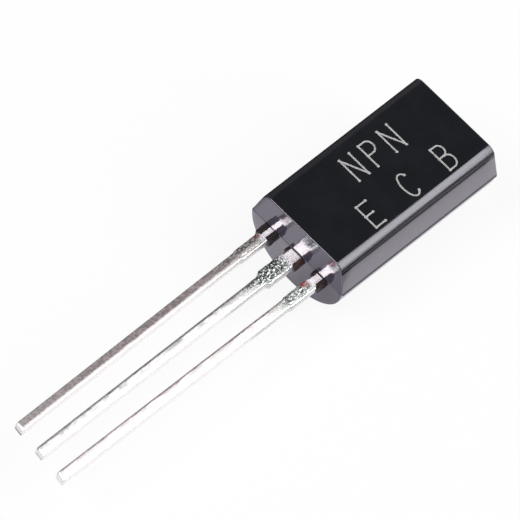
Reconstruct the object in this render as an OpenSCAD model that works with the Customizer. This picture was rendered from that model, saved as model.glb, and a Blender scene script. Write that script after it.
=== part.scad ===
// Long-body TO-92 transistor: a moulded D-section body with three flat leads in one row.
// It lies on its round back: the marked flat faces +Z, the leads point to -Y, and +X is to the right.
// The origin is the middle of the whole part's outline, on the surface it lies on. All lengths are in millimetres.

/* [Moulded body] */
// Width at the parting plane, which is also the diameter of the round back
body_w = 4.8; // [4.4:0.1:5.6]
// Length at the parting plane
body_l = 8.0; // [6.5:0.1:10]
// Depth from the marked flat to the parting plane
front_depth = 1.48; // [1.2:0.02:2]
// Draft of the long sides in front of the parting plane, in degrees
side_draft = 14.5; // [4:0.5:18]
// Draft of the end faces in front of the parting plane, in degrees
front_draft = 3; // [1:0.5:8]
// Draft of the end faces behind the parting plane, in degrees
back_draft = 3.5; // [1:0.5:8]
// Radius along the two long edges of the flat
edge_r = 0.38; // [0.1:0.02:0.6]

/* [Leads] */
// Distance between neighbouring leads, middle to middle
lead_pitch = 1.27; // [1.1:0.01:1.45]
// Width of a lead
lead_w = 0.42; // [0.34:0.01:0.5]
// Thickness of the metal strip that the leads and the chip pad are stamped from
strip_t = 0.42; // [0.3:0.01:0.5]
// Radius along the edges of a lead
lead_edge_r = 0.07; // [0.02:0.01:0.12]
// Length of the middle lead outside the body
lead_l = 12.95; // [5:0.05:20]
// Extra length of each lead over the one to its left, because the strip was cut at a slant
cut_step = 0.13; // [0:0.01:0.4]
// How far the middle lead's neck, where it leaves the body, stands out past the lead on each side
neck_step = 0.07; // [0.02:0.01:0.12]
// How far the middle lead's shoulder stands out on each side
middle_step = 0.13; // [0.02:0.01:0.2]
// How far an outer lead's shoulder stands out on each side
outer_step = 0.04; // [0.02:0.01:0.1]
// Length of a shoulder, where the dam bar was cut away
shoulder_l = 1.25; // [0.6:0.05:2]
// Length of the taper from a shoulder down to the lead
taper_l = 0.12; // [0.05:0.01:0.5]
// Distance from the body to the shoulders
dam_gap = 0.45; // [0.2:0.05:0.8]
// Width of the resin flash on each side of a lead, which fills that distance
flash_w = 0.13; // [0.05:0.01:0.2]

/* [Lead frame inside] */
// Depth of a bonding post's near edge in the body
post_start = 0.9; // [0.5:0.1:1.2]
// Width of a bonding post
post_w = 0.95; // [0.6:0.05:1.1]
// Length of a bonding post
post_l = 1.1; // [0.6:0.1:1.3]
// Gap between the posts and the chip pad
post_gap = 0.5; // [0.3:0.05:0.8]
// Width of the chip pad
pad_w = 3.0; // [2:0.1:3.6]
// Resin beyond the far end of the chip pad
pad_cover = 2.1; // [0.6:0.1:2.4]

/* [Chip and wires] */
// Side of the square chip
chip_w = 1.1; // [0.5:0.05:1.3]
// Thickness of the chip
chip_t = 0.24; // [0.15:0.01:0.35]
// Thickness of the solder under the chip
solder_t = 0.03; // [0.02:0.005:0.06]
// Distance from the pad's near edge to the chip
chip_inset = 0.6; // [0.2:0.05:0.8]
// Diameter of a bonding wire
wire_d = 0.05; // [0.04:0.01:0.1]
// Rise of a wire's arc above the straight line between its ends
loop_h = 0.4; // [0.25:0.05:0.5]
// Diameter of the bond at each end of a wire
bond_d = 0.14; // [0.12:0.01:0.2]
// Height of the bond at each end of a wire
bond_h = 0.06; // [0.06:0.01:0.1]

/* [Hidden] */
$fn = 64;

// Places. The leads leave the body at y = exit_y, and their front faces lie in the parting plane.
back_r = body_w / 2;
parting_z = back_r;
flat_z = parting_z + front_depth;
longest_lead = lead_l + cut_step;
exit_y = (longest_lead - body_l) / 2;
far_y = exit_y + body_l;
shoulder_y = exit_y - dam_gap;
shank_y = shoulder_y - shoulder_l - taper_l;
neck_w = lead_w + 2 * neck_step;

// The rounded edge of the flat, seen along the body
flat_half_w = back_r - front_depth * tan(side_draft);
edge_x = flat_half_w + edge_r * (tan(side_draft) - 1 / cos(side_draft));
edge_z = front_depth - edge_r;

// Lead frame, chip and wires, from the lead end inwards
post_end = post_start + post_l;
pad_start = post_end + post_gap;
pad_end = body_l - pad_cover;
chip_y = exit_y + pad_start + chip_inset + chip_w / 2;
solder_z = parting_z + solder_t;
chip_z = solder_z + chip_t;
post_y = exit_y + post_start + post_l / 2;

// How far a cut or a fused piece reaches past a face, so that no two faces coincide by chance
over = 1;

// Outline of the body's section, with the parting plane on the X axis and the flat up
module body_section() {
    intersection() {
        circle(r = back_r, $fn = 128);
        translate([-back_r - over, -back_r - over]) square([2 * (back_r + over), back_r + over]);
    }
    polygon([
        [-back_r, 0],
        [back_r, 0],
        [edge_x + edge_r * cos(side_draft), edge_z + edge_r * sin(side_draft)],
        [edge_x, front_depth],
        [-edge_x, front_depth],
        [-edge_x - edge_r * cos(side_draft), edge_z + edge_r * sin(side_draft)]
    ]);
    for (side = [-1, 1]) translate([side * edge_x, edge_z]) circle(r = edge_r);
}

// Side view of the space between the drafted end faces, X along the body and Y up from the parting plane
module end_faces() {
    front = front_depth * tan(front_draft);
    back = back_r * tan(back_draft);
    polygon([
        [back, -back_r],
        [body_l - back, -back_r],
        [body_l, 0],
        [body_l - front, front_depth],
        [front, front_depth],
        [0, 0]
    ]);
}

// A flat piece of the lead frame: the children's outline, in the strip's own thickness
module strip() {
    translate([0, 0, parting_z - strip_t]) linear_extrude(height = strip_t) children();
}

// Rounded section of a lead, extruded from y = from to y = to
module lead_bar(x, from, to) {
    translate([x, to, parting_z - strip_t / 2]) rotate([90, 0, 0]) linear_extrude(height = to - from) {
        square([lead_w - 2 * lead_edge_r, strip_t], center = true);
        square([lead_w, strip_t - 2 * lead_edge_r], center = true);
        for (side = [-1, 1], face = [-1, 1])
            translate([side * (lead_w / 2 - lead_edge_r), face * (strip_t / 2 - lead_edge_r)])
                circle(r = lead_edge_r, $fn = 32);
    }
}

// Outline of the wider part of a lead outside the body, from the end of its taper up to the body
module shoulder(x, exit_w, step) {
    half_w = lead_w / 2;
    polygon([
        [x - half_w, shank_y],
        [x + half_w, shank_y],
        [x + half_w + step, shank_y + taper_l],
        [x + half_w + step, shoulder_y],
        [x - half_w - step, shoulder_y],
        [x - half_w - step, shank_y + taper_l]
    ]);
    translate([x - exit_w / 2, shoulder_y]) square([exit_w, dam_gap]);
}

// An outer lead with its bonding post; side is -1 for the emitter and 1 for the base
module outer_lead(side) {
    x = side * lead_pitch;
    lead_bar(x, exit_y - lead_l - side * cut_step, shank_y);
    strip() {
        shoulder(x, lead_w, outer_step);
        translate([x - lead_w / 2, exit_y]) square([lead_w, post_start]);
        translate([x - post_w / 2, exit_y + post_start]) square([post_w, post_l]);
    }
}

// The middle lead with the pad that carries the chip
module middle_lead() {
    lead_bar(0, exit_y - lead_l, shank_y);
    strip() {
        shoulder(0, neck_w, middle_step);
        translate([-neck_w / 2, exit_y]) square([neck_w, pad_start]);
        translate([-pad_w / 2, exit_y + pad_start]) square([pad_w, pad_end - pad_start]);
    }
}

// The chip's outline, from z = low, t thick
module chip_layer(low, t) {
    translate([-chip_w / 2, chip_y - chip_w / 2, low]) cube([chip_w, chip_w, t]);
}

// A wire from the chip to a post: one arc in an upright plane, with a bond at each end
module bond_wire(side) {
    start = [side * chip_w / 4, chip_y - chip_w / 4, chip_z + wire_d / 2];
    end = [side * lead_pitch, post_y, parting_z + wire_d / 2];
    run = norm([end.x - start.x, end.y - start.y]);
    rise = end.z - start.z;
    chord = norm([run, rise]);
    arc_r = (chord * chord / 4 + loop_h * loop_h) / (2 * loop_h);
    half_arc = asin(chord / 2 / arc_r);
    tilt = atan2(rise, run);
    centre = [run / 2 + (arc_r - loop_h) * sin(tilt), rise / 2 - (arc_r - loop_h) * cos(tilt)];
    translate(start) rotate([0, 0, atan2(end.y - start.y, end.x - start.x)])
        translate([centre.x, 0, centre.y]) rotate([90, 0, 0]) rotate([0, 0, 90 + tilt - half_arc])
            rotate_extrude(angle = 2 * half_arc, $fn = 96) translate([arc_r, 0]) circle(d = wire_d, $fn = 24);
    for (place = [start, end])
        translate([place.x, place.y, place.z - wire_d / 2]) cylinder(d = bond_d, h = bond_h, $fn = 32);
}

// Resin flash beside each lead, from the end face out to the shoulders
module flash() {
    for (lead = [[-1, lead_w], [0, neck_w], [1, lead_w]])
        translate([lead.x * lead_pitch - lead.y / 2 - flash_w, shoulder_y])
            square([lead.y + 2 * flash_w, dam_gap + over]);
}

// The resin fills every space around the lead frame, the chip and the wires
module moulded_body() {
    color([0.07, 0.07, 0.08]) difference() {
        union() {
            intersection() {
                translate([0, far_y + over, parting_z]) rotate([90, 0, 0])
                    linear_extrude(height = body_l + 2 * over) body_section();
                translate([-back_r - over, exit_y, parting_z]) rotate([90, 0, 90])
                    linear_extrude(height = 2 * (back_r + over)) end_faces();
            }
            strip() flash();
        }
        outer_lead(-1);
        middle_lead();
        outer_lead(1);
        chip_layer(parting_z, solder_t);
        chip_layer(solder_z, chip_t);
        bond_wire(-1);
        bond_wire(1);
    }
}

module emitter_lead() {
    color([0.85, 0.85, 0.86]) outer_lead(-1);
}

module collector_lead() {
    color([0.85, 0.85, 0.86]) middle_lead();
}

module base_lead() {
    color([0.85, 0.85, 0.86]) outer_lead(1);
}

module transistor_die() {
    color([0.35, 0.37, 0.42]) chip_layer(solder_z, chip_t);
}

module die_attach() {
    color([0.6, 0.61, 0.63]) chip_layer(parting_z, solder_t);
}

module emitter_bond_wire() {
    color([0.9, 0.7, 0.3]) bond_wire(-1);
}

module base_bond_wire() {
    color([0.9, 0.7, 0.3]) bond_wire(1);
}

moulded_body();
emitter_lead();
collector_lead();
base_lead();
transistor_die();
die_attach();
emitter_bond_wire();
base_bond_wire();
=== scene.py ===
import math

import bmesh
import bpy
import numpy as np
from mathutils import Matrix, Vector, noise


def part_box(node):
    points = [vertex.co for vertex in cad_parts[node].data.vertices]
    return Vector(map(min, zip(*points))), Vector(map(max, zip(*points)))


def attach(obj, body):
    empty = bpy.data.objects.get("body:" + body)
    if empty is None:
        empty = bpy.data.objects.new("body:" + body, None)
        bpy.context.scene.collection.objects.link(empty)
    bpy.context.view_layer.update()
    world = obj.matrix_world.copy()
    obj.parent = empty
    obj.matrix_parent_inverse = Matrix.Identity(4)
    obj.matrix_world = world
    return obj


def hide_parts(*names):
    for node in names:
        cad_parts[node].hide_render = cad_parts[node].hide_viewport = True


# A long-body three-lead transistor on a white table. Lengths in the values are millimetres.
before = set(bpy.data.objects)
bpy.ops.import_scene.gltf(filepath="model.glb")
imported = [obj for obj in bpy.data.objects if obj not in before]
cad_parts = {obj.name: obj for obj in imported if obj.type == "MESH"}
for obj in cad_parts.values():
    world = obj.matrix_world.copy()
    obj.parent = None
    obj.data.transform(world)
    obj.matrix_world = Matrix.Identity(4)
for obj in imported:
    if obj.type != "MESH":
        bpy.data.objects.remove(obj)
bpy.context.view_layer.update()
mm = 0.001


def boxOf(node):
    low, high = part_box(node)
    return low / mm, high / mm


# Places that every piece shares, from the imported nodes
caseHigh = boxOf("moulded_body")[1]
stripLow, stripHigh = boxOf("collector_lead")
mould = {
    "length": 8.0,        # of the case, between its end faces at the seam
    "sideDraft": 14.5,    # degrees, long sides above the seam
    "frontDraft": 3.0,    # degrees, end faces above the seam
    "backDraft": 3.5,     # degrees, end faces below the seam
    "flatEdge": 0.38,     # radius along the two long edges of the flat
    "endEdge": 0.035,     # radius where the end faces meet the sides
    "seamWidth": 0.07,
    "seamDepth": 0.03,    # on the end faces
    "backShrink": 0.989,  # the mould's back half is a little narrower than its front half
    "backShift": 0.03,    # and sits a little to the left
    "sideSeam": -0.015,   # depth along the sides, where below zero it is a ridge
}
seamZ = stripHigh.z
flatZ = caseHigh.z
backRadius = caseHigh.x
farY = caseHigh.y
exitY = farY - mould["length"]
draftTan = math.tan(math.radians(mould["sideDraft"]))
draftCos = math.cos(math.radians(mould["sideDraft"]))
filletX = backRadius - (flatZ - seamZ) * draftTan + mould["flatEdge"] * (draftTan - 1 / draftCos)
filletZ = flatZ - mould["flatEdge"]


# Node helpers

def addNode(tree, kind, inputs=None, **settings):
    made = tree.nodes.new(kind)
    for name, value in settings.items():
        setattr(made, name, value)
    for name, value in (inputs or {}).items():
        if isinstance(value, bpy.types.NodeSocket):
            tree.links.new(value, made.inputs[name])
        else:
            made.inputs[name].default_value = value
    return made


def calc(tree, operation, *values):
    return addNode(tree, "ShaderNodeMath", dict(enumerate(values)), operation=operation).outputs[0]


def blendColour(tree, share, first, second):
    return addNode(tree, "ShaderNodeMix", {0: share, 6: first, 7: second}, data_type="RGBA").outputs[2]


def newGroup(name, inputs, outputs):
    group = bpy.data.node_groups.new(name, "ShaderNodeTree")
    for label, value in inputs.items():
        socket = group.interface.new_socket(label, in_out="INPUT", socket_type="NodeSocketFloat")
        socket.default_value = value
    for label in outputs:
        group.interface.new_socket(label, in_out="OUTPUT", socket_type="NodeSocketFloat")
    return group, group.nodes.new("NodeGroupInput"), group.nodes.new("NodeGroupOutput")


def place(tree, group, **values):
    # the first output of a group, placed with these values
    return addNode(tree, "ShaderNodeGroup", values, node_tree=group).outputs[0]


def scaledPlace(group, x, y, z):
    # the object's own place in millimetres, divided by one size for each axis
    here = addNode(group, "ShaderNodeTexCoord").outputs["Object"]
    perMetre = [calc(group, "DIVIDE", 1 / mm, size) for size in (x, y, z)]
    scale = addNode(group, "ShaderNodeCombineXYZ", dict(enumerate(perMetre)))
    scaled = addNode(group, "ShaderNodeVectorMath", {0: here, 1: scale.outputs[0]}, operation="MULTIPLY")
    return scaled.outputs[0]


def makeGrain():
    # fine even grain
    group, start, end = newGroup("fineGrain", {"Size": 0.05, "Detail": 3.0}, ["Grain"])
    size = start.outputs["Size"]
    cloud = addNode(group, "ShaderNodeTexNoise", {
        "Vector": scaledPlace(group, size, size, size), "Scale": 1.0, "Detail": start.outputs["Detail"],
    })
    group.links.new(cloud.outputs[0], end.inputs["Grain"])
    return group


def makePatches():
    # soft-edged patches that cover a share of the surface
    inputs = {"Size": 0.4, "Share": 0.3, "Softness": 0.08, "Shift": 0.0}
    group, start, end = newGroup("softPatches", inputs, ["Mask"])
    size = start.outputs["Size"]
    moved = addNode(group, "ShaderNodeVectorMath", {
        0: scaledPlace(group, size, size, size), 1: start.outputs["Shift"],
    }, operation="ADD")
    cloud = addNode(group, "ShaderNodeTexNoise", {"Vector": moved.outputs[0], "Scale": 1.0, "Detail": 4.0})
    limit = calc(group, "MULTIPLY_ADD", calc(group, "SUBTRACT", 0.5, start.outputs["Share"]), 0.5, 0.5)
    above = calc(group, "DIVIDE", calc(group, "SUBTRACT", cloud.outputs[0], limit), start.outputs["Softness"])
    mask = addNode(group, "ShaderNodeClamp", {0: calc(group, "ADD", above, 0.5)})
    group.links.new(mask.outputs[0], end.inputs["Mask"])
    return group


def makeLines():
    # fine lines along Y, left by drawing and rolling the strip
    group, start, end = newGroup("drawnLines", {"Width": 0.03, "Length": 1.5}, ["Lines"])
    width = start.outputs["Width"]
    cloud = addNode(group, "ShaderNodeTexNoise", {
        "Vector": scaledPlace(group, width, start.outputs["Length"], width), "Scale": 1.0, "Detail": 3.0,
    })
    group.links.new(cloud.outputs[0], end.inputs["Lines"])
    return group


fineGrain, softPatches, drawnLines = makeGrain(), makePatches(), makeLines()
print("effects ready")


# Finishes

def newFinish(name, **constants):
    finish = bpy.data.materials.new(name)
    finish.use_nodes = True
    tree = finish.node_tree
    shader = tree.nodes["Principled BSDF"]
    for socket, value in constants.items():
        shader.inputs[socket.replace("_", " ")].default_value = value
    return finish, tree, shader


def addBump(tree, shader, height, distance):
    bump = addNode(tree, "ShaderNodeBump", {"Height": height, "Distance": distance * mm, "Strength": 1.0})
    tree.links.new(bump.outputs[0], shader.inputs["Normal"])


def toneMasks(tree):
    # the red, green, blue and alpha of what a mesh was painted with
    tone = addNode(tree, "ShaderNodeVertexColor", layer_name="tone")
    colours = addNode(tree, "ShaderNodeSeparateColor", {0: tone.outputs[0]})
    return [*colours.outputs, tone.outputs["Alpha"]]


epoxyLook = {
    "colour": (0.0105, 0.0115, 0.0145, 1),
    "pale": (0.0135, 0.0145, 0.0175, 1),
    # painted sheen: paler lilac colours for the drafted sides and the end faces
    "sides": (0.150, 0.139, 0.165, 1),
    "ends": (0.066, 0.056, 0.098, 1),
    # rubbed streaks on the rounded edges, painted lighter as a highlight
    "rubbedSheen": (0.075, 0.072, 0.080, 1),
    "rubbedSheenFrom": 0.44,   # how strong a streak is where its rubbed colour, partly a painted highlight, starts
    "rubbedSheenSlope": 5.0,   # and how fast that grows
    "seam": (0.012, 0.011, 0.014, 1),
    "tint": (0.94, 0.91, 1.0, 1),
    "roughness": 0.08,
    "edgeRoughness": 0.25,
    "seamRoughness": 0.45,    # more than beside the seam
    "spread": 0.04,
    "index": 1.9,
    "bump": 0.0002,
    "uneven": 0.7,        # how much the roughness varies along the rounded edges
    "streaks": 0.0035,    # drag marks of the mould along them
    "streakWidth": 0.06,
    "streakLength": 6.0,
}


def epoxyFinish(look):
    finish, tree, shader = newFinish("blackEpoxy", IOR=look["index"], Specular_Tint=look["tint"])
    # the drafted sides, the rounded edges, the seam, and all but the end faces
    side, edge, seam, plain = toneMasks(tree)
    grain = place(tree, fineGrain, Size=0.045, Detail=3.0)
    cloud = place(tree, softPatches, Size=0.9, Share=0.4, Softness=0.25)
    streaks = place(tree, drawnLines, Width=look["streakWidth"], Length=look["streakLength"])
    colour = blendColour(tree, cloud, look["colour"], look["pale"])
    # rubbed streaks along the rounded edges, painted lighter as a highlight, strongest on the right edge
    slope = look["rubbedSheenSlope"]
    rubbedSheen = calc(tree, "MULTIPLY_ADD", streaks, slope, -slope * look["rubbedSheenFrom"])
    rubbedSheen = addNode(tree, "ShaderNodeClamp", {0: rubbedSheen}).outputs[0]
    colour = blendColour(tree, calc(tree, "MULTIPLY", edge, rubbedSheen), colour, look["rubbedSheen"])
    # painted sheen: the drafted sides and the end faces get paler lilac colours
    colour = blendColour(tree, side, colour, look["sides"])
    colour = blendColour(tree, plain, look["ends"], colour)
    tree.links.new(blendColour(tree, seam, colour, look["seam"]), shader.inputs["Base Color"])
    rough = calc(tree, "MULTIPLY_ADD", grain, look["spread"], look["roughness"])
    uneven = calc(tree, "SUBTRACT", streaks, 0.5)
    uneven = calc(tree, "MULTIPLY_ADD", uneven, look["uneven"], look["edgeRoughness"] - look["roughness"])
    rough = calc(tree, "MULTIPLY_ADD", edge, uneven, rough)
    rough = calc(tree, "MULTIPLY_ADD", seam, look["seamRoughness"], rough)
    tree.links.new(rough, shader.inputs["Roughness"])
    drag = calc(tree, "MULTIPLY", calc(tree, "MULTIPLY", edge, streaks), look["streaks"] / look["bump"])
    addBump(tree, shader, calc(tree, "ADD", grain, drag), look["bump"])
    return finish


flashLook = {
    "colour": (0.012, 0.008, 0.009, 1),
    "amber": (0.17, 0.055, 0.022, 1),
    "roughness": 0.22,
    "index": 1.4,
    "bump": 0.006,
}


def flashFinish(look):
    finish, tree, shader = newFinish("resinFlash", IOR=look["index"])
    patches = place(tree, softPatches, Size=0.07, Share=0.45, Softness=0.2, Shift=7.0)
    amber = calc(tree, "MULTIPLY", toneMasks(tree)[0], calc(tree, "MULTIPLY_ADD", patches, 0.6, 0.4))
    tree.links.new(blendColour(tree, amber, look["colour"], look["amber"]), shader.inputs["Base Color"])
    grain = place(tree, fineGrain, Size=0.03, Detail=3.0)
    tree.links.new(calc(tree, "MULTIPLY_ADD", grain, 0.2, look["roughness"]), shader.inputs["Roughness"])
    addBump(tree, shader, grain, look["bump"])
    return finish


tinLook = {
    "colour": (0.95, 0.94, 0.935, 1),
    "pink": (0.95, 0.84, 0.83, 1),
    "neck": (0.97, 0.91, 0.91, 1),
    "dull": (0.62, 0.58, 0.57, 1),
    "copper": (0.46, 0.032, 0.045, 1),
    # dark specks and lines: partly residue and dirt, partly painted shade and dark reflection
    "residueAndShade": (0.058, 0.062, 0.055, 1),
    # the painted dark reflection band along each lead's left edge, and its mottle
    "wearAndReflection": (0.49, 0.395, 0.405, 1),
    "bandMottle": (0.25, 0.215, 0.22, 1),
    "frost": (0.62, 0.67, 0.65, 1),
    "patches": {    # of each kind: size, share of the surface, softness and how far they are moved
        "lumps": (0.45, 0.5, 0.7, 0.0),
        "pink": (0.5, 0.22, 0.12, 11.0),
        "dull": (0.16, 0.10, 0.12, 23.0),
        "bandMottle": (0.11, 0.5, 0.14, 31.0),
    },
    "pinkAmount": 0.5,
    "dullAmount": 0.25,
    "metal": 0.42,        # matte tin is part mirror, part white powder
    "neckMetal": 0.8,     # and close to the case it was burnished by the mould
    "copperMetal": 0.2,   # of the metal round it
    "roughness": 0.42,
    "neckRoughness": 0.21,
    "crinkleRoughness": 0.25,
    "dullRoughness": 0.12,    # more than beside a dull patch
    "spread": 0.06,
    "lineBump": 0.00012,
    "lumpBump": 0.0022,
    "grainBump": 0.00005,
}


def tinFinish(name, look, shift):
    finish, tree, shader = newFinish(name)
    copper, frost, residueAndShade, polished = toneMasks(tree)
    # painted dark reflection band along the left edge of the top face
    reflectionBand = addNode(tree, "ShaderNodeAttribute", attribute_name="wearAndReflection").outputs["Fac"]
    lines = place(tree, drawnLines, Width=0.028, Length=1.3)
    grain = place(tree, fineGrain, Size=0.03, Detail=3.0)
    patches = {}
    for kind, (size, share, soft, moved) in look["patches"].items():
        patches[kind] = place(tree, softPatches, Size=size, Share=share, Softness=soft, Shift=shift + moved)
    pink = calc(tree, "MULTIPLY", patches["pink"], look["pinkAmount"])
    colour = blendColour(tree, pink, look["colour"], look["pink"])
    dull = calc(tree, "MULTIPLY", patches["dull"], look["dullAmount"])
    colour = blendColour(tree, dull, colour, look["dull"])
    wearAndReflection = blendColour(tree, patches["bandMottle"], look["wearAndReflection"], look["bandMottle"])
    # the dark tin colour holds residue and dirt together with painted shade and dark reflection lines; the
    # band colour is a painted dark reflection
    for mask, above in (
        (polished, look["neck"]), (reflectionBand, wearAndReflection), (frost, look["frost"]),
        (residueAndShade, look["residueAndShade"]), (copper, look["copper"]),
    ):
        colour = blendColour(tree, mask, colour, above)
    tree.links.new(colour, shader.inputs["Base Color"])
    bright = calc(tree, "MAXIMUM", polished, frost)
    metal = calc(tree, "MULTIPLY_ADD", bright, look["neckMetal"] - look["metal"], look["metal"])
    metal = calc(tree, "MULTIPLY", metal, calc(tree, "MULTIPLY_ADD", copper, look["copperMetal"] - 1.0, 1.0))
    tree.links.new(metal, shader.inputs["Metallic"])
    rough = calc(tree, "MULTIPLY_ADD", patches["dull"], look["dullRoughness"], look["roughness"])
    rough = calc(tree, "MULTIPLY_ADD", calc(tree, "SUBTRACT", grain, 0.5), look["spread"], rough)
    rough = calc(tree, "MULTIPLY_ADD", polished, look["neckRoughness"] - look["roughness"], rough)
    rough = calc(tree, "MULTIPLY_ADD", frost, look["crinkleRoughness"] - look["roughness"], rough)
    tree.links.new(rough, shader.inputs["Roughness"])
    height = calc(tree, "MULTIPLY", lines, look["lineBump"] / look["lumpBump"])
    height = calc(tree, "MULTIPLY_ADD", grain, look["grainBump"] / look["lumpBump"], height)
    height = calc(tree, "ADD", height, patches["lumps"])
    addBump(tree, shader, height, look["lumpBump"])
    return finish


markLook = {
    "colour": (0.47, 0.47, 0.465, 1),
    "burnt": (0.30, 0.29, 0.275, 1),
    "roughness": 0.65,
    "bump": 0.008,
}


def markFinish(look):
    finish, tree, shader = newFinish("laserMark")
    speckle = place(tree, softPatches, Size=0.05, Share=0.35, Softness=0.15, Shift=3.0)
    tree.links.new(blendColour(tree, speckle, look["colour"], look["burnt"]), shader.inputs["Base Color"])
    grain = place(tree, fineGrain, Size=0.025, Detail=2.0)
    tree.links.new(calc(tree, "MULTIPLY_ADD", grain, 0.2, look["roughness"]), shader.inputs["Roughness"])
    addBump(tree, shader, grain, look["bump"])
    return finish


innerLook = {
    "chip": {
        "nodes": ["transistor_die"],
        "colour": (0.10, 0.105, 0.13, 1),
        "wearAndReflection": (0.16, 0.17, 0.21, 1),
        "metal": 0.4,
        "roughness": 0.18,
    },
    "solder": {
        "nodes": ["die_attach"],
        "colour": (0.52, 0.52, 0.54, 1),
        "wearAndReflection": (0.36, 0.36, 0.38, 1),
        "metal": 1.0,
        "roughness": 0.42,
    },
    "wire": {
        "nodes": ["emitter_bond_wire", "base_bond_wire"],
        "colour": (0.95, 0.66, 0.27, 1),
        "wearAndReflection": (0.85, 0.55, 0.20, 1),
        "metal": 1.0,
        "roughness": 0.22,
    },
}


def innerFinish(name, look):
    finish, tree, shader = newFinish(name, Metallic=look["metal"])
    patches = place(tree, softPatches, Size=0.12, Share=0.4, Softness=0.3)
    tree.links.new(blendColour(tree, patches, look["colour"], look["wearAndReflection"]), shader.inputs["Base Color"])
    grain = place(tree, fineGrain, Size=0.02, Detail=2.0)
    tree.links.new(calc(tree, "MULTIPLY_ADD", grain, 0.12, look["roughness"]), shader.inputs["Roughness"])
    addBump(tree, shader, grain, 0.001)
    return finish


print("finishes ready")


# Meshes

sharpAngle = math.radians(38)    # faces that meet at more than this keep a sharp edge


def makePiece(name, points, faces, finish, standsFor, tone=None, wearAndReflection=None):
    mesh = bpy.data.meshes.new(name)
    mesh.from_pydata([Vector(p) * mm for p in points], [], faces)
    tidy = bmesh.new()
    tidy.from_mesh(mesh)
    bmesh.ops.recalc_face_normals(tidy, faces=tidy.faces)
    tidy.to_mesh(mesh)
    tidy.free()
    mesh.materials.append(finish)
    if tone is not None:
        painted = mesh.color_attributes.new("tone", "FLOAT_COLOR", "POINT")
        painted.data.foreach_set("color", np.asarray(tone, "f").ravel())
    if wearAndReflection is not None:
        mesh.attributes.new("wearAndReflection", "FLOAT", "POINT").data.foreach_set("value", np.asarray(wearAndReflection, "f"))
    mesh.shade_smooth()
    mesh.set_sharp_from_angle(angle=sharpAngle)
    piece = bpy.data.objects.new(name, mesh)
    bpy.context.scene.collection.objects.link(piece)
    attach(piece, "root")
    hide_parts(*standsFor)
    print(name, len(mesh.vertices), "points")


def ringFaces(count, size, first=0):
    # quads between rings that follow each other, and a face on the first and the last
    faces = [tuple(range(start, start + size)) for start in (first, first + (count - 1) * size)]
    for i in range(count - 1):
        for j in range(size):
            a, b = first + i * size + j, first + i * size + (j + 1) % size
            faces.append((a, b, b + size, a + size))
    return faces


def wobble(points, size, shift=0.0):
    # smooth noise at each point, with lumps of this size
    start = Vector((shift, shift * 0.7, shift * 1.3))
    return np.array([noise.noise(Vector(p) / size + start) for p in points])


# The moulded case

caseShape = {
    "leftRubbedSheen": 0.1,    # how rubbed the rounded edge at the left is, with its painted highlight, where 1 is the one at the right
    "plainEnds": (0.0, 0.6),    # how far each end face has the plain epoxy's colour rather than the painted sheen
    "seamLine": 0.35,     # how dark the side is right over the seam, a painted shade line along it
    "flatSteps": 12,      # from the middle of the flat to its edge
    "filletSteps": 20,
    "sideShares": [0.10, 0.15, 0.35, 0.55, 0.75, 0.90, 0.95, 1.0],    # where the rows of the side are
    "backSteps": 40,
    "edgeSteps": 5,
    "lengthSteps": 16,
}


def caseRows(shape, inset):
    # half-widths and heights from the edge of the flat down the right side to the lowest line
    rows = []
    draft = math.radians(mould["sideDraft"])
    radius = mould["flatEdge"] - inset
    for k in range(shape["filletSteps"] + 1):
        turn = (math.pi / 2 - draft) * k / shape["filletSteps"]
        rows.append((filletX + radius * math.sin(turn), filletZ + radius * math.cos(turn)))
    seam = mould["seamWidth"] / 2
    lastX, lastZ = rows[-1]
    seamX = backRadius - inset / math.cos(draft) - seam * draftTan
    for share in shape["sideShares"]:
        rows.append((lastX + (seamX - lastX) * share, lastZ + (seamZ + seam - lastZ) * share))
    rows.append((backRadius - inset - mould["sideSeam"], seamZ))
    startTurn = math.asin(seam / backRadius)
    for k in range(shape["backSteps"] + 1):
        turn = startTurn + (math.pi / 2 - startTurn) * k / shape["backSteps"]
        rows.append(((backRadius - inset) * math.cos(turn), seamZ - (backRadius - inset) * math.sin(turn)))
    rows[-1] = (0.0, rows[-1][1])
    return rows


def halfShift(x, z):
    return x * mould["backShrink"] - mould["backShift"] if z < seamZ - 0.001 else x


def endDepth(z):
    # how far the end face lies inside the case's full length at this height
    off = abs(z - seamZ)
    draft = mould["frontDraft"] if z > seamZ else mould["backDraft"]
    groove = max(0.0, 1 - off / (mould["seamWidth"] / 2))
    return off * math.tan(math.radians(draft)) + mould["seamDepth"] * groove


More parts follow.
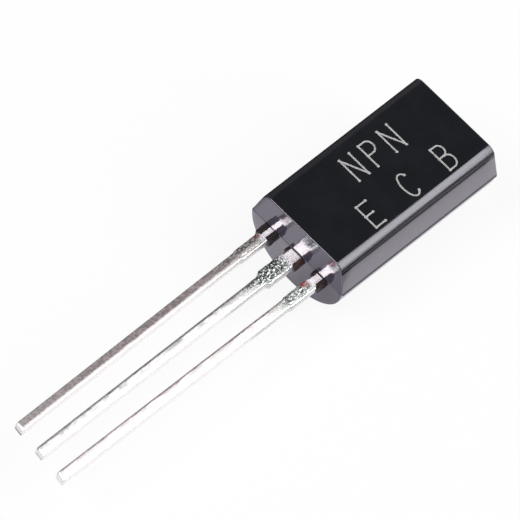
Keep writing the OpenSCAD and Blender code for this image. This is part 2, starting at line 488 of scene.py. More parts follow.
def buildCase(shape, finish):
    across = 2 * shape["flatSteps"]
    edge = mould["endEdge"]

    def ring(inset, depth, share):
        # one ring round the case; share is 0 at the lead end and 1 at the far end
        rows = caseRows(shape, inset)
        line = [(rows[0][0] * (2 * j / across - 1), rows[0][1]) for j in range(across + 1)]
        line += rows[1:] + [(-x, z) for x, z in rows[-2:0:-1]]
        line = [(halfShift(x, z), z) for x, z in line]
        near, far = exitY + depth, farY - depth
        return [(x, (near + endDepth(z)) * (1 - share) + (far - endDepth(z)) * share, z) for x, z in line]

    turns = [math.pi / 2 * k / shape["edgeSteps"] for k in range(shape["edgeSteps"] + 1)]
    rounded = [(edge * (1 - math.sin(t)), edge * (1 - math.cos(t))) for t in turns]
    rings = [ring(inset, depth, 0) for inset, depth in rounded]
    rings += [ring(0, edge, k / shape["lengthSteps"]) for k in range(1, shape["lengthSteps"])]
    rings += [ring(inset, depth, 1) for inset, depth in reversed(rounded)]
    size = len(rings[0])
    points = [p for r in rings for p in r]
    faces = ringFaces(len(rings), size)[2:]

    def rowTone(row):
        # how much of a drafted side, a rounded edge and the seam a row is
        onEdge = 1.0 if 0 < row < shape["filletSteps"] else 0.0
        toSeam = row - shape["filletSteps"] - len(shape["sideShares"])
        # the rows right over the seam take some of its dark colour, a painted shade line
        inSeam = 1.0 if toSeam == 1 else shape["seamLine"] if toSeam in (-1, 0) else 0.0
        return (1.0 if row >= shape["filletSteps"] + 2 else 0.0, onEdge, inSeam, 1.0)

    rows = caseRows(shape, edge)
    last = len(rows) - 1
    flat = [rowTone(0)] * (across + 1)
    down = [rowTone(row) for row in range(1, last + 1)]
    up = [(red, green * shape["leftRubbedSheen"], blue, alpha) for red, green, blue, alpha in down[-2::-1]]
    around = flat + down + up

    def rimTone(plain):
        return [(0.0, green, blue, plain) for red, green, blue, alpha in around]

    nearPlain, farPlain = shape["plainEnds"]
    tone = rimTone(nearPlain) + around * (len(rings) - 2) + rimTone(farPlain)

    def addEnd(share):
        # a grid over one end face, inside the first ring or the last one
        first = share * (len(rings) - 1) * size
        base = len(points)

        def at(i, j):
            if i == 0:
                return first + j
            if i == last:
                return first + across + last
            if j == 0:
                return first + size - i
            if j == across:
                return first + across + i
            return base + (i - 1) * (across - 1) + j - 1

        for x, z in rows[1:-1]:
            y = exitY + endDepth(z) if share == 0 else farY - endDepth(z)
            inSeam = 1.0 if abs(z - seamZ) < 0.001 else 0.0
            points.extend((halfShift(x * (2 * j / across - 1), z), y, z) for j in range(1, across))
            tone.extend([(0.0, 0.0, inSeam, shape["plainEnds"][share])] * (across - 1))
        for i in range(last):
            for j in range(across):
                corners = [at(i, j), at(i, j + 1), at(i + 1, j + 1), at(i + 1, j)]
                faces.append(tuple(dict.fromkeys(corners)))

    addEnd(0)
    addEnd(1)
    makePiece("mouldedCase", points, faces, finish, ["moulded_body"], tone)


# The leads

leadShape = {
    "corner": 0.05,       # radius of a lead's long edges
    "innerCorner": 0.012,
    "tipRoll": 0.17,      # length over which the shears rolled the tip's top edge
    "tipDrop": 0.11,
    "tipNip": 0.025,      # how much narrower the tip gets there, on each side
    "slant": 0.102,       # cut of the tips across the row, per millimetre
    "slantFrom": 0.5,     # how far before the tip it sets in
    "fineStep": 0.02,     # between rings near the case
    "fineReach": 3.0,     # how far out they go
    "plainStep": 0.12,    # between rings further out
    "wear": 0.002,        # unevenness of the faces
    "inserts": (-0.3, -0.06),    # rings just inside the case

    # Where a mark fades out, and over what width: depth under the top face, height over the lower one,
    # distance from the left edge, and distance from the case
    "topFace": (0.12, 0.04),
    "lowFace": (0.07, 0.04),
    "footLine": (0.176, 0.11),
    "edgeLine": (0.042, 0.03),
    "exitLine": (0.055, 0.02),

    # Along a lead: pairs of a distance out of the case and a value
    "neckPolish": [(-0.1, 0.0), (-0.05, 1.0), (0.45, 1.0), (0.60, 0.45), (1.0, 0.3), (1.2, 0.0)],
    "sidePolish": [(0.5, 1.0), (0.6, 0.0), (2.4, 0.0), (3.4, 1.0)],
    "edgeDark": [(0.5, 0.0), (0.7, 1.0)],
    "bandAlong": [(0.6, 0.0), (0.9, 0.5), (1.9, 0.6), (2.5, 1.0), (8.0, 1.0), (12.0, 0.82)],
}

# Half the width of an outer lead, from its bonding post out to its plain part
outerHalf = [
    (-2.0, 0.475), (-0.91, 0.475), (-0.90, 0.21), (0.44, 0.21),
    (0.48, 0.25), (1.68, 0.25), (1.80, 0.21),
]

# What differs from lead to lead. Its keys, in the order in which they stand:
#   shift: moves all its patterns; tin: its own colours
#   how dark its neck is, with dirt and painted shade at its sides, then exitLine, footLine, edgeLine: the
#   neck's end
#     at the case, a painted shade line along the lower edge of the cut tip, and a painted dark reflection
#     along the left edge
#   the shoulder's dark specks: how much of it they cover, residue and painted shade, and mottled: how far
#   right of the middle that reaches
#   band: the painted dark reflection band along the left edge: its width, how dark it is, over what width the
#       painted
#     patches beside it fade, and how dark those are; bandSoft: how soft the band's right edge is, ragged: how
#     uneven it is, and bandEnd: how far before the tip it ends
#   centre, half: the middle line, and half of the width
#   bevel, tilt, lean: width of the sloped left part of the top face, its slope, and the twist of the lead
#   topSteps: how finely the top face is divided
#   crinkle, frost: height of the crinkles at the shoulder, and how frosted the tin is
#   spots: bare copper, as a distance out of the case, a place across the lead, and a radius
leadLooks = {
    "emitter_lead": {
        "name": "emitterLead",
        "shift": 0.0,
        "tin": {
            "frost": (0.62, 0.58, 0.56, 1),
            "residueAndShade": (0.10, 0.088, 0.085, 1),
            "copper": (0.20, 0.022, 0.030, 1),
        },
        "neckDirtAndShade": 0.75,
        "exitLine": 0.35,
        "footLine": 0.85,
        "edgeLine": 0.75,
        "soiledAndShaded": 0.45,
        "mottled": [(1.6, 0.02), (2.6, 0.08)],
        "band": (0.320, 0.95, 0.10, 0.25),
        "bandSoft": 0.06,
        "ragged": 0.10,
        "bandEnd": 0.10,
        "centre": [(-0.3, -1.27), (0, -1.30), (0.5, -1.32), (1.9, -1.328), (12.8, -1.256)],
        "half": outerHalf,
        "bevel": [(0.3, 0.05), (0.8, 0.22), (2.0, 0.26), (12.8, 0.27)],
        "tilt": [(0.2, 3.0), (0.7, 16.0), (12.8, 18.0)],
        "lean": [(0.0, 0.0), (0.8, 3.0), (2.0, 4.0)],
        "topSteps": 30,
        "crinkle": [(0.4, 0.0), (0.6, 0.006), (1.7, 0.006), (2.0, 0.0)],
        "frost": [(0.5, 0.0), (0.7, 0.6), (1.6, 0.6), (2.6, 0.35), (3.8, 0.0)],
        "spots": [(0.67, -0.20, 0.20)],
    },
    "collector_lead": {
        "name": "collectorLead",
        "shift": 3.1,
        "tin": {"wearAndReflection": (0.32, 0.295, 0.30, 1), "bandMottle": (0.17, 0.16, 0.165, 1)},
        "neckDirtAndShade": 0.15,
        "exitLine": 1.0,
        "footLine": 0.4,
        "edgeLine": 0.55,
        "soiledAndShaded": 1.00,
        "mottled": [(1.6, 0.24), (2.1, 0.08)],
        "band": (0.100, 1.00, 0.20, 0.85),
        "bandSoft": 0.04,
        "ragged": 0.40,
        "bandEnd": 0.02,
        "centre": [(-0.3, 0.0), (0, -0.015), (0.5, -0.026)],
        "half": [
            (-5.9, 1.5), (-2.51, 1.5), (-2.50, 0.28), (0.44, 0.28),
            (0.50, 0.34), (1.64, 0.34), (1.76, 0.225), (2.4, 0.21),
        ],
        "bevel": [(0.3, 0.04), (0.8, 0.08), (2.0, 0.10), (12.9, 0.09)],
        "tilt": [(0.2, 3.0), (0.7, 14.0), (12.9, 20.0)],
        "lean": [(0.0, 0.0), (0.8, 3.0), (2.0, 4.5), (12.9, 5.0)],
        "topSteps": 44,
        "crinkle": [(0.42, 0.0), (0.62, 0.020), (1.6, 0.022), (2.0, 0.007), (2.4, 0.0)],
        "frost": [(0.45, 0.0), (0.6, 0.5), (0.95, 0.8), (1.6, 0.8), (2.2, 0.6), (3.2, 0.0)],
        "spots": [],
    },
    "base_lead": {
        "name": "baseLead",
        "shift": 6.7,
        "tin": {"wearAndReflection": (0.42, 0.29, 0.31, 1), "bandMottle": (0.20, 0.16, 0.17, 1)},
        "neckDirtAndShade": 0.35,
        "exitLine": 1.0,
        "footLine": 0.1,
        "edgeLine": 0.40,
        "soiledAndShaded": 1.00,
        "mottled": [(1.6, 0.11), (2.1, 0.00)],
        "band": (0.100, 0.95, 0.14, 0.45),
        "bandSoft": 0.03,
        "ragged": 0.30,
        "bandEnd": 0.02,
        "centre": [(-0.3, 1.27), (0, 1.268), (0.5, 1.266), (1.9, 1.266), (13, 1.197)],
        "half": outerHalf,
        "bevel": [(0.3, 0.03), (0.8, 0.10), (2.0, 0.05)],
        "tilt": [(0.2, 3.0), (0.7, 12.0), (2.0, 12.0), (13, 14.0)],
        "lean": [(0.0, 0.0), (0.8, 4.0), (13, 5.0)],
        "topSteps": 30,
        "crinkle": [(0.4, 0.0), (0.6, 0.009), (1.7, 0.009), (2.2, 0.0)],
        "frost": [(0.5, 0.0), (0.7, 0.65), (1.7, 0.6), (2.3, 0.2), (2.8, 0.0)],
        "spots": [(0.72, -0.19, 0.20)],
    },
}


def keyed(keys, where):
    # the value at one place or many, between pairs of a place and a value
    return np.interp(where, *zip(*keys))


def rise(value, start, soft):
    # 0 up to the start, and from there to 1 over the softness
    return np.clip((value - start) / soft, 0, 1)


def fall(value, end, soft):
    # from 1 to 0 over the softness, and 0 from the end on
    return np.clip((end - value) / soft, 0, 1)


def flatNoise(across, along, level):
    return np.array([noise.noise(Vector((a, b, level))) for a, b in zip(across, along)])


def leadSection(left, right, low, high, corner, bevel=0.0, tilt=0.0, topSteps=6, cornerSteps=5):
    # rounded section, clockwise from its left side, whose top falls away over the bevel at the left
    def top(x):
        run = left + bevel - x
        return high - math.tan(math.radians(tilt)) * (run + math.hypot(run, 0.014)) / 2

    def bend(x, z, start):
        turns = [start - math.pi / 2 * k / (cornerSteps - 1) for k in range(cornerSteps)]
        return [(x + corner * math.cos(t), z + corner * math.sin(t)) for t in turns]

    inLeft, inRight, inLow = left + corner, right - corner, low + corner
    line = bend(inLeft, top(inLeft) - corner, math.pi)
    leftTop = line[0][1]
    for k in range(1, topSteps):
        x = inLeft + (inRight - inLeft) * k / topSteps
        line.append((x, top(x)))
    line += bend(inRight, top(inRight) - corner, math.pi / 2)
    rightTop = line[-1][1]
    line += [(right, rightTop + (inLow - rightTop) * k / 4) for k in range(1, 4)]
    line += bend(inRight, inLow, 0)
    line += [(inRight + (inLeft - inRight) * k / 5, low) for k in range(1, 5)]
    line += bend(inLeft, inLow, -math.pi / 2)
    line += [(left, inLow + (leftTop - inLow) * k / 4) for k in range(1, 4)]
    return line


def leadStations(look, shape, reach):
    # distances out of the case, with how far the tip has rolled over there and the size of the section
    inner = sorted({d for d, half in look["half"] if d < 0} | set(shape["inserts"]))
    fine = np.arange(0, shape["fineReach"], shape["fineStep"])
    plain = np.arange(shape["fineReach"], reach - shape["tipRoll"] - 0.02, shape["plainStep"])
    stations = [(d, 0.0, 1.0) for d in [*inner, *fine, *plain]]
    for turn in [math.pi / 2 * k / 7 for k in range(8)]:
        stations.append((reach - shape["tipRoll"] * (1 - math.sin(turn)), 1 - math.cos(turn), 1.0))
    return stations + [(reach, 1.0, size) for size in (0.9, 0.6, 0.25)]


def leadRing(look, shape, reach, d, drop, size):
    # each point of one ring, and with it the distance out, the lead's middle, left edge, foot and top there,
    # and the section's size
    outside = d > -0.05
    x, half = keyed(look["centre"], d), keyed(look["half"], d)
    nip = shape["tipNip"] * drop
    low, high = stripLow.z + nip, stripHigh.z - shape["tipDrop"] * drop
    corner = shape["corner"] if outside else shape["innerCorner"]
    tilt, lean = (keyed(look["tilt"], d), keyed(look["lean"], d)) if outside else (0.0, 0.0)
    line = leadSection(
        x - half + nip, x + half - nip, low, high, corner, keyed(look["bevel"], d), tilt, look["topSteps"]
    )
    middle = Vector((x, (low + high) / 2))
    twist = Matrix.Rotation(-math.radians(lean), 2)
    slant = shape["slant"] * rise(d, reach - shape["slantFrom"], shape["slantFrom"])
    ring = []
    for point in line:
        off = Vector(point) - middle
        off.rotate(twist)
        px, pz = middle.x + off.x * size, middle.y + off.y * size
        ring.append((px, exitY - d - slant * (px - x), pz, d, x, x - half, low, high, size))
    return ring


def leadMarks(look, shape, reach, data):
    # the four masks of the tin, and the painted dark reflection band along the left edge
    px, _, pz, d, x, left, low, high, size = data.T
    fromLeft = px - left
    outside = d > -0.05
    onFace = np.where(outside, fall(high - pz, *shape["topFace"]), 1.0)
    onSide = (1 - onFace) * rise(pz - low, *shape["lowFace"]) * (d < reach - shape["tipRoll"])
    copper = np.zeros(len(px))
    for out, across, radius in look["spots"]:
        away = np.sqrt((px - x - across) ** 2 + (d - out) ** 2 + (pz - stripHigh.z) ** 2)
        copper = np.maximum(copper, fall(away, radius, radius / 2.2))
    frost = onFace * keyed(look["frost"], d)
    # painted shade along the lower edge of the cut tip, and a painted dark reflection along the left edge of
    # the top face
    foot = look["footLine"] * fall(pz - low, *shape["footLine"]) * (d > reach - 0.03)
    edge = look["edgeLine"] * fall(fromLeft, *shape["edgeLine"]) * keyed(shape["edgeDark"], d) * onFace
    polish = np.maximum(keyed(shape["neckPolish"], d), onSide * keyed(shape["sidePolish"], d))
    tone = np.column_stack([copper, frost, np.maximum(foot, edge), polish])

    shift = look["shift"]
    wide, strength, fade, faint = look["band"]
    # how the band's edge wanders, and the painted dark patches beside it
    wave = flatNoise(np.zeros(len(d)), d / 0.45, shift) + 0.7 * flatNoise(px / 0.08, d / 0.12, shift)
    blot = flatNoise(px / 0.2, d / 0.5, shift + 5) + 0.5 * flatNoise(px / 0.1, d / 0.2, shift)
    soft = look["bandSoft"]
    # painted dark reflection along the left edge of the top face, where the lead mirrors the dark sky
    band = strength * fall(fromLeft, wide * (1 + look["ragged"] * wave) + soft / 2, soft)
    patchy = faint * np.clip(0.45 + 1.8 * blot, 0, 1) * fall(fromLeft, wide + fade, fade)
    onTop = outside & (size == 1) & (pz > low + 0.2) & (d < reach - look["bandEnd"])
    return tone, np.where(onTop, np.maximum(band, patchy) * keyed(shape["bandAlong"], d), 0.0)


def buildLead(node, look, shape, finish):
    reach = exitY - boxOf(node)[0].y
    stations = leadStations(look, shape, reach)
    rings = np.array([leadRing(look, shape, reach, *station) for station in stations])
    count, size = rings.shape[:2]
    tone, wearAndReflection = leadMarks(look, shape, reach, rings.reshape(-1, rings.shape[2]))
    points = rings[:, :, :3].reshape(-1, 3)
    middles = np.repeat(rings[:, :, :3].mean(1), size, axis=0)
    outward = (points - middles) * [1, 0, 1]
    outward /= np.maximum(np.linalg.norm(outward, axis=1, keepdims=True), 1e-6)
    shift = look["shift"]
    distance = exitY - points[:, 1]
    crinkle = wobble(points, 0.10, shift) + 0.7 * wobble(points, 0.045, shift + 5)
    wear = np.where(distance > 0.02, shape["wear"], 0.0) * wobble(points * [1, 0.25, 1], 0.2, shift + 9)
    points = points + outward * (keyed(look["crinkle"], distance) * crinkle + wear)[:, None]

    fromMiddle = points[:, 0] - np.repeat(points.reshape(count, size, 3)[:, :, 0].mean(1), size)
    # dark specks on the shoulder, residue and painted shade, kept left of the middle, and dark flecks at the
    # sides of the neck, dirt and painted shade
    speckNoise = 6 * wobble(points, 0.08, shift + 3) + 3 * wobble(points, 0.035, shift + 4)
    speck = np.clip(look["soiledAndShaded"] + speckNoise, 0, 1)
    speck *= np.clip((keyed(look["mottled"], distance) - fromMiddle) / 0.06, 0.15, 1)
    neckDirtAndShade = np.clip(0.35 + 6 * wobble(points, 0.09, shift + 7), 0, 1) * look["neckDirtAndShade"]
    neckDirtAndShade *= np.clip((abs(fromMiddle) - 0.06) / 0.05, 0.1, 1)
    onNeck = (distance > 0) & (distance < 0.5)
    exitLine = look["exitLine"] * fall(abs(distance), *shape["exitLine"])
    # all three go into the dark tin colour: residue, dirt and painted shade
    for residueAndShade in (np.minimum(1, 1.4 * tone[:, 1]) * speck, onNeck * neckDirtAndShade, exitLine):
        tone[:, 2] = np.maximum(tone[:, 2], residueAndShade)
    tone[:, 0] *= np.clip(0.8 + wobble(points, 0.06, shift + 2), 0, 1)
    makePiece(look["name"], points, ringFaces(count, size), finish, [node], tone, wearAndReflection)


# Resin that ran out beside the leads while moulding, and broke off at the dam bar

flashShape = {
    # x of the inner edge, side of the lead, width, length, depth of the top under the lead's, how amber it is
    "blocks": [
        (-1.43, -1, 0.23, 0.52, -0.012, 0.04),
        (-1.18, 1, 0.20, 0.47, -0.012, 0.08),
        (-0.30, -1, 0.13, 0.24, 0.05, 0.10),
        (0.25, 1, 0.15, 0.46, 0.02, 0.9),
        (1.09, -1, 0.14, 0.24, -0.008, 0.10),
        (1.42, 1, 0.17, 0.42, -0.01, 0.22),
    ],
    "lap": 0.03,          # how far a block reaches under its lead's side
    "corner": 0.018,
    "nip": 0.02,          # how much its broken end is rounded
    "step": 0.025,        # between rings
    "amberAt": (0.22, 0.24),    # where along it a block is most amber, and over what length that fades
    "ragged": (0.022, 0.09),    # height and size of the lumps sideways and lengthwise
    "lifted": (0.018, 0.07),    # and upwards
}


def buildFlash(shape, finish):
    points, faces, tone = [], [], []
    ragged, raggedSize = shape["ragged"]
    lifted, liftedSize = shape["lifted"]
    amberAt, amberFade = shape["amberAt"]
    for number, (x, side, width, length, under, amber) in enumerate(shape["blocks"]):
        left, right = sorted((x - side * shape["lap"], x + side * width))
        low, high = stripLow.z + 0.01, stripHigh.z - under
        stations = [-0.05, *np.arange(0, length - 0.02, shape["step"]), length - 0.012, length]
        first, shift = len(points), number * 3.7
        for d in stations:
            nip = shape["nip"] if d == length else 0.0
            line = leadSection(left + nip, right - nip, low + nip, high - nip, shape["corner"], cornerSteps=3)
            for px, pz in line:
                here = Vector((px, d, pz))
                push = ragged * noise.noise(here / raggedSize + Vector((shift, 0, 0))) if d > 0.01 else 0.0
                lift = lifted * noise.noise(here / liftedSize + Vector((0, shift, 3))) if d > 0.01 else 0.0
                points.append((px + push, exitY - d + push, pz + lift))
                tone.append((amber * max(0.0, 1 - abs(d - amberAt) / amberFade), 0, 0, 1))
        faces += ringFaces(len(stations), len(line), first)
    makePiece("resinFlash", points, faces, finish, ["moulded_body"], tone)


# Generic marking: the polarity and the order of the leads, scored into the flat by a laser

markShape = {
    "height": 1.08,
    "letterWidth": 0.50,
    "stroke": 0.037,      # half the width of a line
    "step": 0.035,        # between points along a line
    "tips": (0.03, 0.15, 0.4, 0.75),    # and close to its ends, where 1 is half its width
    "proud": 0.007,
    "sunk": 0.02,         # how far its edge reaches into the flat
    # across a line from its left edge, and a dot from its rim: place and height
    "profile": [(-1, None), (-0.92, 0.2), (-0.5, 0.8), (0, 1), (0.5, 0.8), (0.92, 0.2), (1, None)],
    "dotProfile": [(1.0, None), (0.97, 0.3), (0.7, 0.85), (0.3, 1)],
    "dot": 0.058,         # radius of the dot where a line starts or ends
    "dotSteps": 16,
    "rows": [
        {"text": "NPN", "base": -0.22, "start": 3.15, "pitch": 0.96},
        {"text": "ECB", "base": 1.60, "start": 2.25, "pitch": 1.90},
    ],
}


def arc(x, y, radiusX, radiusY, start, end, steps=16):
    turns = [math.radians(start + (end - start) * k / steps) for k in range(steps + 1)]
    return [(x + radiusX * math.cos(t), y + radiusY * math.sin(t)) for t in turns]


letterStrokes = {
    "N": [[(0, 0), (0, 1)], [(0, 1), (1, 0)], [(1, 0), (1, 1)]],
    "P": [
        [(0, 0), (0, 1)],
        [(0, 1), (0.55, 1), *arc(0.55, 0.75, 0.45, 0.25, 90, -90), (0.55, 0.5), (0, 0.5)],
    ],
    "E": [[(0.95, 1), (0, 1)], [(0, 1), (0, 0)], [(0, 0), (0.95, 0)], [(0, 0.52), (0.75, 0.52)]],
    "C": [arc(0.52, 0.5, 0.52, 0.5, 48, 312, 28)],
    "B": [
        [(0, 0), (0, 1)],
        [(0, 1), (0.5, 1), *arc(0.5, 0.77, 0.38, 0.23, 90, -90), (0.5, 0.54), (0, 0.54)],
        [(0.5, 0.54), *arc(0.52, 0.27, 0.46, 0.27, 90, -90), (0.5, 0), (0, 0)],
    ],
}


def lengthsAlong(path):
    # the distance from the path's start to each of its points
    return np.r_[0, np.cumsum(np.linalg.norm(np.diff(path, axis=0), axis=1))]


def pickPoints(path, lengths, where):
    return np.column_stack([np.interp(where, lengths, path[:, k]) for k in (0, 1)])


def evenly(path, step):
    path = np.array(path, float)
    lengths = lengthsAlong(path)
    keep = np.r_[True, np.diff(lengths) > 1e-9]
    count = max(4, round(lengths[-1] / step))
    where = np.linspace(0, lengths[-1], count + 1)
    return pickPoints(path[keep], lengths[keep], where), where


def buildMarks(shape, finish):
    points, faces = [], []

    def addPoint(u, v, high, share):
        # u runs away from the leads and v to the left
        points.append((-v, exitY + u, flatZ + (-shape["sunk"] if share is None else share * high)))

    def addStroke(path, level):
        half = shape["stroke"]
        line, where = evenly(path, shape["step"])
        full = where[-1]
        tips = half * np.array(shape["tips"])
        inner = where[(where > tips[-1]) & (where < full - tips[-1])]
        where = np.unique(np.r_[inner, tips, full - tips])
        line = pickPoints(line, lengthsAlong(line), where)
        heading = np.gradient(line, axis=0)
        heading /= np.linalg.norm(heading, axis=1, keepdims=True)
        first = len(points)
        for (u, v), (du, dv), s in zip(line, heading, where):
            near = min(s, full - s) / half
            wide = half * (math.sqrt(max(0.02, 1 - (1 - near) ** 2)) if near < 1 else 1.0)
            wide *= 1 + 0.16 * noise.noise(Vector((u, v, level * 90)) / 0.06)
            high = level + 0.25 * level * noise.noise(Vector((u, v, 7)) / 0.04)
            for off, share in shape["profile"]:
                addPoint(u - off * wide * dv, v + off * wide * du, high, share)
        faces.extend(ringFaces(len(line), len(shape["profile"]), first))

    def addDot(u, v, level):
        first = len(points)
        for radius, share in shape["dotProfile"]:
            for k in range(shape["dotSteps"]):
                turn = math.tau * k / shape["dotSteps"]
                rim = Vector((u * 9 + math.cos(turn), v * 9 + math.sin(turn), 1))
                ragged = radius * shape["dot"] * (1 + 0.12 * noise.noise(rim))
                addPoint(u + ragged * math.cos(turn), v - ragged * math.sin(turn), level, share)
        faces.extend(ringFaces(len(shape["dotProfile"]), shape["dotSteps"], first))

    step = 0
    for row in shape["rows"]:
        for number, letter in enumerate(row["text"]):
            start = np.array((row["start"] + number * row["pitch"], -row["base"]))
            for stroke in letterStrokes[letter]:
                step += 1
                level = shape["proud"] + 0.0004 * (step % 7)    # no two that cross are equally high
                path = start + np.array(stroke) * (shape["letterWidth"], shape["height"])
                addStroke(path, level)
                for end in (path[0], path[-1]):
                    addDot(*end, level + 0.003)
    makePiece("pinMarks", points, faces, finish, ["moulded_body"])


buildCase(caseShape, epoxyFinish(epoxyLook))
for node, look in leadLooks.items():
    tin = tinFinish("tinPlate_" + look["name"], {**tinLook, **look["tin"]}, look["shift"])
    buildLead(node, look, leadShape, tin)
buildFlash(flashShape, flashFinish(flashLook))
buildMarks(markShape, markFinish(markLook))
print("pieces ready")

for name, look in innerLook.items():
    finish = innerFinish(name, look)
    for node in look["nodes"]:
        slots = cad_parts[node].data.materials
        slots.clear()
        slots.append(finish)


# The table, the light and the camera

stageLook = {
    "floorSize": 4000.0,
    "floorColour": (0.93, 0.93, 0.93, 1),
    "floorGlow": 0.89,    # share of plain white in what the camera sees of the floor
    # white paper that glossy faces mirror: left, right, near and far edge, and how far each fades outwards
    "sheet": ((-3.2, 1.6), (5.84, 0.12), (-17.0, 3.0), (17.0, 3.0)),
    "sheetShade": (5.0, 6.0),    # where the paper starts to darken towards the right, and over what length
    "sheetColour": (1.0, 0.985, 1.01, 1),
    "beyond": (0.05, 0.05, 0.055, 1),
    "shades": [    # where the mirrored paper is darker, with the same four edges, and by how much
        ((-1.2, 0.7), (1.2, 0.7), (exitY + 0.5, 0.5), (farY - 0.5, 0.5), 0.85),    # right under the case
        ((0.3, 1.3), (4.0, 1.0), (exitY - 2.27, 0.8), (exitY, 0.5), 0.42),         # beside the base lead
    ],
    "fill": 0.12,
    "glossySky": 0.55,    # how bright the mirrored sky is in the directions the long edge of the case mirrors
    "glossyRest": 1.0,    # and elsewhere
    "glossyAlong": (0.42, 0.12, 0.3),    # their Y, and how far from it the change starts and ends
    # dark cards: where they stand, the cosines between which each fades out, and how bright they are
    "flags": [
        ((-0.80, 0.42, 0.45), 0.78, 0.94, 0.16),      # at the left, mirrored by the leads' left edges
        ((-0.289, 0.42, 0.86), 0.93, 0.985, 0.03),    # overhead, mirrored by the flat
        ((0.89, 0.42, 0.05), 0.80, 0.92, 0.05),       # at the right, mirrored under the bright edge
    ],
}
keyLook = {
    "towards": (0.55, 0.40, 0.73),
    "away": 300.0,
    "length": 430.0,
    "width": 160.0,
    "level": 4.1,         # how bright its face is, where 1 is plain white
}
frontLook = {
    "towards": (-0.289, -0.508, 0.811),
    "away": 300.0,
    "length": 125.0,
    "width": 125.0,
    "level": 8.2,
}


def buildFloor(look):
    half = look["floorSize"] / 2 * mm
    mesh = bpy.data.meshes.new("floor")
    corners = [(-half, -half, 0), (half, -half, 0), (half, half, 0), (-half, half, 0)]
    mesh.from_pydata(corners, [], [(0, 1, 2, 3)])
    floor = bpy.data.objects.new("floor", mesh)
    bpy.context.scene.collection.objects.link(floor)
    finish = bpy.data.materials.new("tableWhite")
    finish.use_nodes = True
    tree = finish.node_tree
    tree.nodes.clear()
    rays = addNode(tree, "ShaderNodeLightPath")
    plain = addNode(tree, "ShaderNodeBsdfDiffuse", {"Color": look["floorColour"]})
    white = addNode(tree, "ShaderNodeEmission", {"Color": (1, 1, 1, 1), "Strength": 1.0})
    position = addNode(tree, "ShaderNodeNewGeometry").outputs["Position"]
    here = addNode(tree, "ShaderNodeSeparateXYZ", {0: position}).outputs

    def mixShaders(share, first, second):
        return addNode(tree, "ShaderNodeMixShader", {0: share, 1: first.outputs[0], 2: second.outputs[0]})

    def within(value, low, high):
        # each edge is its place and how far it fades outwards, in millimetres
        start = addNode(tree, "ShaderNodeMapRange", {0: value, 1: (low[0] - low[1]) * mm, 2: low[0] * mm})
        end = addNode(tree, "ShaderNodeMapRange", {0: value, 1: (high[0] + high[1]) * mm, 2: high[0] * mm})
        return calc(tree, "MULTIPLY", start.outputs[0], end.outputs[0])

    left, right, near, far = look["sheet"]
    onSheet = calc(tree, "MULTIPLY", within(here[0], left, right), within(here[1], near, far))
    onSheet = calc(tree, "MULTIPLY", onSheet, within(here[0], left, look["sheetShade"]))
    level = 1.0
    for left, right, near, far, amount in look["shades"]:
        shade = calc(tree, "MULTIPLY", within(here[0], left, right), within(here[1], near, far))
        level = calc(tree, "MULTIPLY", level, calc(tree, "MULTIPLY_ADD", shade, -amount, 1.0))
    mirrored = addNode(tree, "ShaderNodeEmission", {
        "Color": blendColour(tree, onSheet, look["beyond"], look["sheetColour"]), "Strength": level,
    })
    seen = mixShaders(look["floorGlow"], plain, white)
    mixed = mixShaders(rays.outputs["Is Camera Ray"], plain, seen)
    mixed = mixShaders(rays.outputs["Is Glossy Ray"], mixed, mirrored)
    addNode(tree, "ShaderNodeOutputMaterial", {"Surface": mixed.outputs[0]})
    mesh.materials.append(finish)


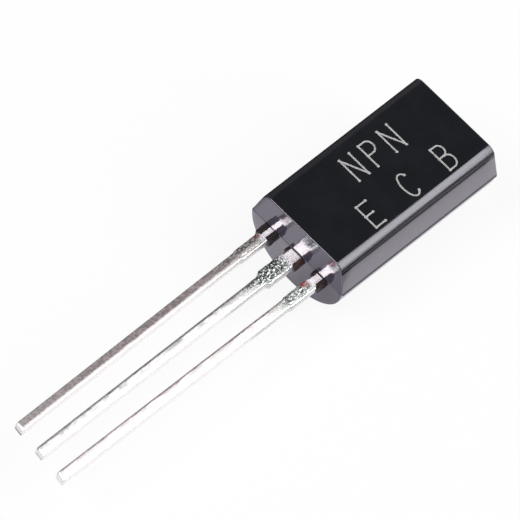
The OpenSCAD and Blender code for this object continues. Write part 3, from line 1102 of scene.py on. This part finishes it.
def buildWorld(look):
    world = bpy.data.worlds.new("studio")
    bpy.context.scene.world = world
    world.use_nodes = True
    tree = world.node_tree
    tree.nodes.clear()
    rays = addNode(tree, "ShaderNodeLightPath")
    sky = addNode(tree, "ShaderNodeTexCoord").outputs["Generated"]

    def change(value, start, end, before, after):
        return addNode(tree, "ShaderNodeMapRange", {
            0: value, 1: start, 2: end, 3: before, 4: after,
        }, interpolation_type="SMOOTHSTEP").outputs[0]

    def choose(share, first, second):
        return addNode(tree, "ShaderNodeMix", {0: share, 2: first, 3: second}).outputs[0]

    middle, start, end = look["glossyAlong"]
    along = addNode(tree, "ShaderNodeSeparateXYZ", {0: sky}).outputs[1]
    aside = calc(tree, "ABSOLUTE", calc(tree, "SUBTRACT", along, middle))
    mirrored = change(aside, start, end, look["glossySky"], look["glossyRest"])
    for towards, low, high, level in look["flags"]:
        ends = {0: sky, 1: Vector(towards).normalized()}
        cosine = addNode(tree, "ShaderNodeVectorMath", ends, operation="DOT_PRODUCT").outputs["Value"]
        mirrored = change(cosine, low, high, mirrored, level)
    level = choose(rays.outputs["Is Glossy Ray"], look["fill"], mirrored)
    level = choose(rays.outputs["Is Camera Ray"], level, 1.0)
    sky = addNode(tree, "ShaderNodeBackground", {"Color": (1, 1, 1, 1), "Strength": level})
    addNode(tree, "ShaderNodeOutputWorld", {"Surface": sky.outputs[0]})


def placed(where, right, upward, back):
    # the matrix of a lamp or camera at this place, in millimetres, with these axes
    return Matrix.Translation(where * mm) @ Matrix((right, upward, back)).transposed().to_4x4()


def addCard(name, look):
    # a soft lamp that faces the case
    away = Vector(look["towards"]).normalized()
    across = Vector((0, 1, 0)).cross(away).normalized()
    upward = away.cross(across)
    lamp = bpy.data.lights.new(name, "AREA")
    lamp.shape = "RECTANGLE"
    lamp.size, lamp.size_y = look["length"] * mm, look["width"] * mm
    lamp.energy = look["level"] * math.pi * lamp.size * lamp.size_y
    card = bpy.data.objects.new(name, lamp)
    bpy.context.scene.collection.objects.link(card)
    card.matrix_world = placed(away * look["away"], across, upward, away)
    card.visible_camera = False


cameraLook = {
    "azimuth": 34.482,
    "elevation": 59.325,
    "roll": -13.595,
    "away": 400.0,
    "lens": 760.40,
    "target": (-0.3406, 0.8251, 3.3212),
}


def addCamera(look):
    azimuth, elevation, roll = [math.radians(look[key]) for key in ("azimuth", "elevation", "roll")]
    level = Vector((math.sin(azimuth), -math.cos(azimuth), 0))
    back = level * math.cos(elevation) + Vector((0, 0, math.sin(elevation)))
    right = Vector((0, 0, 1)).cross(back).normalized()
    turn = Matrix.Rotation(-roll, 3, back)
    right, upward = turn @ right, turn @ back.cross(right)
    lens = bpy.data.cameras.new("camera")
    lens.lens = look["lens"]
    lens.clip_start, lens.clip_end = 0.01, 10
    camera = bpy.data.objects.new("camera", lens)
    bpy.context.scene.collection.objects.link(camera)
    camera.matrix_world = placed(Vector(look["target"]) + back * look["away"], right, upward, back)
    bpy.context.scene.camera = camera


buildFloor(stageLook)
buildWorld(stageLook)
addCard("keyCard", keyLook)
addCard("frontCard", frontLook)
addCamera(cameraLook)
bpy.context.scene.view_settings.view_transform = "Standard"
print("stage ready")
